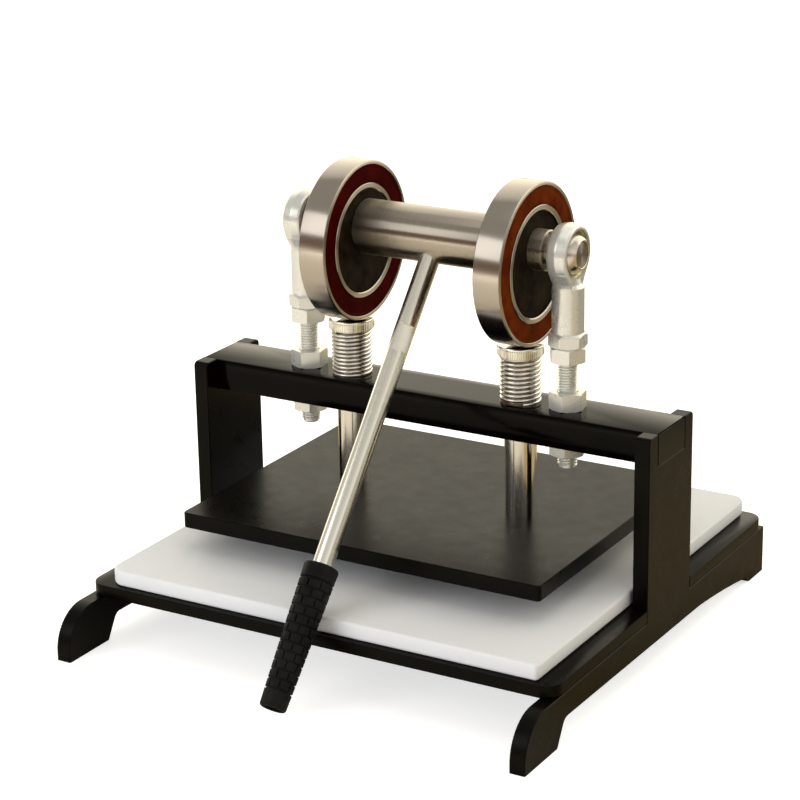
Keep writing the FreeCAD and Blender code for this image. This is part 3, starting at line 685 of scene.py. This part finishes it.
mottled(dark_steel, 120.0, 6.0, dark=(0.006, 0.0035, 0.0015), light=(0.024, 0.017, 0.009), where=faced,
        start=0.3, end=0.72)
lathe_marks(dark_steel, (0, pillar_plane, cam), along_x, 1500.0, 10 * micron, 0.5, 0.7)
for side, piece in (("left", disc), ("right", twin(disc, "eccentric_disc_right", 2 * seat))):
    coat([piece], dark_steel)
    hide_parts("eccentric_" + side)
    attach(piece, "crank")
coat([nodes["eccentric_screws"]], dark_steel)


# Bearing rings
# The outer and inner rings of two large sealed ball bearings, ground and polished, with the balls'
# track turned in each. The outer rings roll on the caps.
apart = right_bearing - left_bearing
ball_circle, track_radius, track_edge = 0.04125, 0.0056, 0.0072
track = [(track_radius * math.cos(math.radians(a)), track_radius * math.sin(math.radians(a)))
         for a in range(35, 146, 10)]
outer_wall = [(0.0090, 0.0491), (0.0088, 0.0496), (0.0084, 0.04995), (0.0079, 0.05)]
outer_lip = [(track_edge, 0.0475), (0.0088, 0.0475), (0.0090, 0.0477)]
outer_profile = [(-along, radius) for along, radius in outer_lip + outer_wall]
outer_profile += outer_wall[::-1] + outer_lip[::-1]
outer_track = [(along, ball_circle + rise) for along, rise in track]
outer_profile += [(track_edge, outer_track[0][1]), *outer_track, (-track_edge, outer_track[-1][1])]
outer_ring = turned("bearing_ring_left", outer_profile + [outer_profile[0]], sides=192, ring=True)
inner_lip = [(track_edge, 0.0359), (0.0087, 0.0359), (0.0090, 0.0356), (0.0090, 0.0331),
             (0.0084, disc_radius)]
inner_profile = inner_lip + [(-along, radius) for along, radius in inner_lip[::-1]]
inner_track = [(along, ball_circle - rise) for along, rise in track[::-1]]
inner_profile += [(-track_edge, inner_track[0][1]), *inner_track, (track_edge, inner_track[-1][1])]
inner_ring = turned("bearing_bore_ring_left", inner_profile + [inner_profile[0]], sides=128, ring=True)
bearing_steel = finish("polished_bearing_steel", metallic=1.0, colour=(0.44, 0.40, 0.355))
lathe_marks(bearing_steel, (0, pillar_plane, cam), along_x, 6000.0, 0.1 * micron, 0.195, 0.225)
stretched(bearing_steel, "X", 0.7)
ring_face = finish("ground_ring_face", metallic=1.0, colour=(0.51, 0.46, 0.385))
lathe_marks(ring_face, (0, pillar_plane, cam), along_x, 1600.0, 0.8 * micron, 0.28, 0.4)
stretched(ring_face, "X", 0.8)
for piece in (outer_ring, inner_ring):
    settle(piece, (left_bearing, pillar_plane, cam), along_x)
    coat([piece], bearing_steel)
    coat_faces(piece, ring_face, lambda middle, normal: abs(normal.x) > 0.9)
for side, piece in (("left", outer_ring), ("right", twin(outer_ring, "bearing_ring_right", apart))):
    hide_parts("bearing_outer_" + side)
    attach(piece, "roller_" + side)
for side, piece in (("left", inner_ring), ("right", twin(inner_ring, "bearing_bore_ring_right", apart))):
    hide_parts("bearing_inner_" + side)
    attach(piece, "crank")


# Bearing seals, balls and cages
# Moulded rubber seals, set a little below the rings' faces: maroon on the left, orange-brown on
# the right, lit and shaded copies of one rubber, the left's maroon painted shade and the right's orange-brown
# painted light. Behind them run chromed balls in a pressed cage.
seal_profile = [(0.00725, 0.03595), (0.00805, 0.03595), (0.0082, 0.0362), (0.0082, 0.0374), (0.0085, 0.0378),
                (0.0085, 0.0447), (0.00825, 0.0450), (0.00825, 0.0457), (0.0085, 0.0460), (0.0085, 0.0473),
                (0.0083, 0.0475), (0.00725, 0.0475), (0.00725, 0.03595)]
seal = turned("rubber_seals_left", seal_profile, sides=128, ring=True)
settle(seal)
back = twin(seal, "back", 0.0)
back.rotation_euler = (math.pi, 0, 0)
into_mesh()
together(seal, back)
settle(seal, (left_bearing, pillar_plane, cam), along_x)
right_seal = twin(seal, "rubber_seals_right", apart)
# The two seal colours are painted light and shade: the left seal's darker maroon stands in for shade, the
# right seal's lighter orange-brown for the light on its open face.
for side, piece, slot, dark, light in (
        ("left", seal, "maroon_rubber", (0.036, 0.0006, 0.0004), (0.058, 0.0014, 0.0009)),
        ("right", right_seal, "orange_brown_rubber", (0.085, 0.012, 0.001), (0.15, 0.026, 0.002))):
    rubber = finish(slot, specular=0.01)
    mottled(rubber, 90.0, 5.0, dark, light)
    roughen(rubber, specks(rubber, 300.0, 4.0), 0.45, 0.6)
    raised(rubber, specks(rubber, 1200.0, 2.0), 20 * micron)
    coat([piece], rubber)
    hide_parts("bearing_seals_" + side)
    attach(piece, "roller_" + side)
pressed = finish("pressed_steel", metallic=1.0)
mottled(pressed, 80.0, 3.0, dark=(0.42, 0.41, 0.38), light=(0.55, 0.54, 0.51))
roughen(pressed, specks(pressed, 400.0, 3.0), 0.28, 0.45)
coat([nodes["bearing_balls_left"], nodes["bearing_balls_right"]], chrome)
coat([nodes["bearing_cage_left"], nodes["bearing_cage_right"]], pressed)


# Handle
# A 12.7 mm rod, bright nickel plated and screwed into the shaft, with two spanner flats for
# tightening it.
lean = math.radians(40.3)
along_handle = (math.pi - lean, 0, 0)
top_of_handle = (slide, pillar_plane, axle)
rod_radius = 0.00635
rod = turned("nickel_handle_rod", [(0.005, rod_radius), (0.3012, rod_radius), (0.302, 0.0055)])
flat_depth, flat_level, flat_length, flat_turn = 0.0043, 0.0705, 0.017, 49.0
cutter = 0.01
for side in (-1, 1):
    flat = block("flat", (side * (flat_depth + cutter / 2), 0, flat_level), (cutter, 3 * cutter, flat_length))
    flat.rotation_euler = (0, 0, math.radians(flat_turn))
    into_mesh()
    carve(rod, flat)
break_edges(rod, 0.0002, 30)
settle(rod, top_of_handle, along_handle, smooth=20.0)
nickel = finish("bright_nickel", metallic=1.0, colour=(0.90, 0.885, 0.81))
lathe_marks(nickel, top_of_handle, along_handle, 300.0, 0.5 * micron, 0.2, 0.26)
coat([rod], nickel)
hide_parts("handle_rod")
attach(rod, "crank")


# Hand grip
# Moulded black rubber, pushed on the rod: a smooth collar and tail, and between them twelve rings
# of eight raised blocks, each ring set half a block round from the last.
grip_low, grip_high = 0.2174, 0.306
block_low, block_high = grip_low + 0.0095, grip_high - 0.0105
rings, groove, sunk, grip_bore = 12, 0.0012, 0.001, 0.0064
step = (block_high - block_low - groove) / rings


def grip_radius(at):
    """The grip's outer radius, which falls evenly towards its end."""
    return 0.0106 - 0.00257 * (at - grip_low) / (grip_high - grip_low)


def grip_end(at, inward):
    """The rounded rim at one end of the grip, from the hole outwards."""
    radius = grip_radius(at)
    return [(at, grip_bore + 0.0002), (at, radius - 0.0014), (at + inward * 0.0004, radius - 0.0005),
            (at + inward * 0.0014, radius)]


grip_profile = grip_end(grip_low, 1)
grip_profile += [(block_low - 0.0003, grip_radius(block_low)), (block_low, grip_radius(block_low) - sunk)]
for ring in range(rings):
    low = block_low + groove + ring * step
    grip_profile += [(at, grip_radius(at) - sunk) for at in (low, low + step - groove)]
grip_profile += [(block_high, grip_radius(block_high) - sunk), (block_high + 0.0003, grip_radius(block_high))]
grip_profile += grip_end(grip_high, -1)[::-1]
grip_profile += [(0.3021, grip_bore), (grip_low + 0.001, grip_bore), grip_profile[0]]
grip = turned("rubber_hand_grip", grip_profile, sides=128, ring=True)
settle(grip)


def on_a_block(middle, normal):
    """Whether a face lies on one of the raised blocks, each 14 of the grip's 16 sides wide."""
    ring, along = divmod(middle.z - block_low - groove, step)
    outside = math.hypot(middle.x, middle.y) > 0.007
    if not (0 <= ring < rings and along < step - groove and outside):
        return False
    around = math.degrees(math.atan2(middle.y, middle.x)) + 22.5 * (ring % 2)
    return around % 45.0 < 45.0 * 14 / 16


pick(grip, faces=on_a_block)
bpy.ops.mesh.extrude_region_shrink_fatten(TRANSFORM_OT_shrink_fatten={"value": sunk})
break_edges(grip, 0.00028, 40)
settle(grip, top_of_handle, along_handle, smooth=40.0)
black_rubber = finish("black_rubber", specular=0.12)
mottled(black_rubber, 60.0, 4.0, dark=(0.003, 0.003, 0.0028), light=(0.009, 0.0085, 0.0075))
roughen(black_rubber, specks(black_rubber, 250.0, 4.0), 0.45, 0.65)
raised(black_rubber, specks(black_rubber, 2000.0, 2.0), 40 * micron)
coat([grip], black_rubber)
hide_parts("hand_grip")
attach(grip, "crank")


# Bench and room
# A plain white bench top in a pale room. In reflections only, the bench is painted in warm bands that darken
# away from the machine, a painted reflection of a dimmer room; polished pieces mirror the room as brightest
# behind it, with a dim corner on the right there.
def seen_plainly(made):
    """1 for rays that come straight or through glass from the camera, and 0 for the rest."""
    rays = add(made, "ShaderNodeLightPath", {}).outputs
    both = {0: rays["Is Camera Ray"], 1: rays["Is Transmission Ray"]}
    return add(made, "ShaderNodeMath", both, operation="MAXIMUM").outputs[0]


def dot(made, where, direction):
    """How far a place or a direction reaches along another direction."""
    values = {0: where, 1: direction}
    return add(made, "ShaderNodeVectorMath", values, operation="DOT_PRODUCT").outputs["Value"]


def blended(made, factor, first, second):
    """A mix of two colours, each a socket or plain."""
    node = add(made, "ShaderNodeMix", {"Factor": factor, 6: first, 7: second}, data_type="RGBA")
    return node.outputs[2]


floor = alone("plane", "bench_top", size=7.0, location=(0, 0, 0))
bench = finish("white_bench")
roughen(bench, specks(bench, 4.0, 3.0), 0.6, 0.8)
glow = add(bench, "ShaderNodeMath", {0: seen_plainly(bench), 1: 0.62}, operation="MULTIPLY").outputs[0]
feed(bench, glow, "Emission Strength")
shader(bench).inputs["Emission Color"].default_value = (1.0, 1.0, 1.0, 1.0)
# Painted reflection: the bench's colour seen only by mirrored rays, warm bands that darken away from the
# machine.
painted_reflection_bands = [(0.1, (0.95, 0.89, 0.77)), (0.24, (0.46, 0.35, 0.15)), (0.36, (0.58, 0.46, 0.25)),
         (0.66, (0.52, 0.42, 0.24)), (0.8, (0.11, 0.09, 0.065))]
away = dot(bench, place(bench, (-0.1, -0.172, 0)), (0.5, 0.86, 0))
mirrored = add(bench, "ShaderNodeLightPath", {}).outputs["Is Glossy Ray"]
bench_white = (0.82, 0.82, 0.81, 1.0)
feed(bench, blended(bench, mirrored, bench_white, ramp(bench, away, painted_reflection_bands)), "Base Color")
coat([floor], bench)

world = bpy.data.worlds.new("pale_room")
bpy.context.scene.world = world
world.use_nodes = True
direction = add(world, "ShaderNodeTexCoord", {}).outputs["Generated"]
parts = add(world, "ShaderNodeSeparateXYZ", {"Vector": direction}).outputs
round_room = add(world, "ShaderNodeMath", {0: parts["Z"], 1: parts["Y"]}, operation="ARCTAN2").outputs[0]
values = {"Value": round_room, "From Min": -math.pi, "From Max": math.pi}
round_room = add(world, "ShaderNodeMapRange", values).outputs[0]
# From the front, down under the machine, up behind it at 0.5, overhead at 0.75 and to the front again.
around = [(0.0, (0.25, 0.175, 0.133)), (0.1, (0.35, 0.333, 0.30)), (0.5, (1.14, 1.05, 0.84)),
          (0.57, (1.22, 1.13, 0.91)), (0.69, (0.625, 0.60, 0.533)), (0.712, (0.30, 0.283, 0.25)),
          (0.718, (0.167, 0.15, 0.125)), (0.724, (0.30, 0.283, 0.25)), (0.86, (0.31, 0.295, 0.26)),
          (0.885, (0.38, 0.37, 0.35)), (0.955, (0.38, 0.37, 0.35)), (0.97, (0.17, 0.115, 0.085)),
          (1.0, (0.17, 0.115, 0.085))]
# From the left wall at 0 to the right wall at 1.
sideways = [(0.0, 0.64), (0.35, 0.57), (0.6, 0.64), (0.75, 0.7), (0.88, 1.0), (0.95, 1.0), (0.975, 0.4),
            (1.0, 0.4)]
values = {"Value": parts["X"], "From Min": -1.0, "From Max": 1.0}
across_room = add(world, "ShaderNodeMapRange", values).outputs[0]
walls = {0: ramp(world, round_room, around),
         1: ramp(world, across_room, [(position, (level,) * 3) for position, level in sideways])}
shade = add(world, "ShaderNodeVectorMath", walls, operation="MULTIPLY").outputs[0]
brightness = 2.6
shade = add(world, "ShaderNodeVectorMath", {0: shade, "Scale": brightness}, operation="SCALE").outputs[0]
values = {"Value": dot(world, direction, (0.89, 0.45, 0)), "From Min": 0.86, "From Max": 0.98, "To Min": 1.0,
          "To Max": 0.25}
dim_corner = add(world, "ShaderNodeMapRange", values).outputs["Result"]
shade = add(world, "ShaderNodeVectorMath", {0: shade, "Scale": dim_corner}, operation="SCALE").outputs[0]
sky = blended(world, seen_plainly(world), shade, (1.0, 1.0, 1.0, 1.0))
world.node_tree.links.new(sky, world.node_tree.nodes["Background"].inputs["Color"])


# Lamps
# A large window-like lamp to the front left, a softer one above, and a low fill in front that the
# metal doesn't mirror.
def lamp(name, spot, aim, wide, tall, watts, colour):
    """A soft rectangular lamp, turned to a point."""
    light = bpy.data.lights.new(name, "AREA")
    light.shape = "RECTANGLE"
    light.size, light.size_y = wide, tall
    light.energy = watts
    light.color = colour
    holder = bpy.data.objects.new(name, light)
    bpy.context.scene.collection.objects.link(holder)
    holder.location = spot
    holder.rotation_euler = (Vector(aim) - Vector(spot)).to_track_quat("-Z", "Y").to_euler()
    return holder


lamp("window", (-0.9, -1.5, 1.1), (0, 0, 0.15), 1.1, 0.9, 4.8, (1.0, 0.98, 0.95))
lamp("ceiling", (0.2, 0.0, 1.7), (0, 0, 0.1), 1.2, 1.0, 3.0, (1.0, 0.985, 0.96))
fill = lamp("fill", (-0.6, -1.8, 0.5), (0, 0, 0.1), 1.2, 0.5, 15.0, (0.95, 0.965, 1.0))
fill.visible_glossy = False


# Camera
# Where the photograph was taken from: a little above the machine and to its right, with a long lens.
azimuth, height_angle, roll = math.radians(30.75), math.radians(18.82), math.radians(-1.0)
distance = 1.5774
target = Vector((-0.0255, pillar_plane, 0.1327))
back_off = Vector((math.sin(azimuth) * math.cos(height_angle), -math.cos(azimuth) * math.cos(height_angle),
                   math.sin(height_angle)))
lens = bpy.data.cameras.new("camera")
lens.sensor_width = 36.0
lens.lens = 113.1
camera = bpy.data.objects.new("camera", lens)
bpy.context.scene.collection.objects.link(camera)
stance = Matrix.Rotation(azimuth, 4, "Z") @ Matrix.Rotation(math.pi / 2 - height_angle, 4, "X")
spot = Matrix.Translation(target + back_off * distance)
camera.matrix_world = spot @ stance @ Matrix.Rotation(roll, 4, "Z")
bpy.context.scene.camera = camera
bpy.context.scene.view_settings.view_transform = "Standard"
